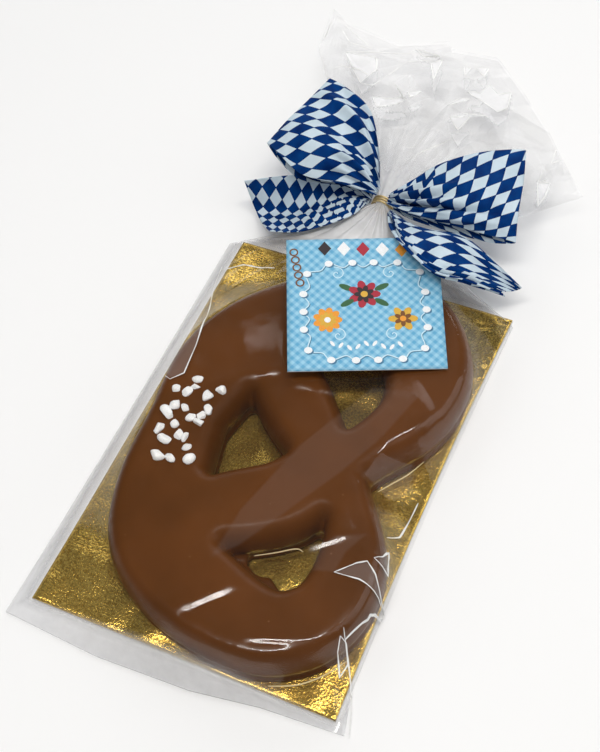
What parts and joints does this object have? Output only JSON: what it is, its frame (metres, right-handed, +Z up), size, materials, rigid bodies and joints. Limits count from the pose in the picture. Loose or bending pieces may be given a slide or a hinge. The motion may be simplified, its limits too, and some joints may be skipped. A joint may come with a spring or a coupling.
{
  "type": "bagged chocolate gingerbread pretzel",
  "caption": "Pretzel-shaped chocolate gingerbread on a gold board in a clear bag, gathered at the neck with a lozenge ribbon bow and a square tag.",
  "frame": {"origin": "middle of the bounding box in plan, on the surface the pack lies on", "axes": "+Y from the sealed end of the bag to its flared mouth, +Z up out of the shown side"},
  "size_m": [0.1218, 0.2806, 0.0299],
  "materials": {
    "film": "clear glossy film",
    "ribbon": "woven, blue and white lozenges",
    "wire": "thin satin wire",
    "tag": "printed satin card"
  },
  "bodies": {
    "root": {"clear_bag": "film", "ribbon_loop_left": "ribbon", "ribbon_loop_right": "ribbon", "ribbon_tail_left": "ribbon", "ribbon_tail_right": "ribbon", "neck_tie": "wire", "square_tag": "tag"}
  },
  "joints": []
}
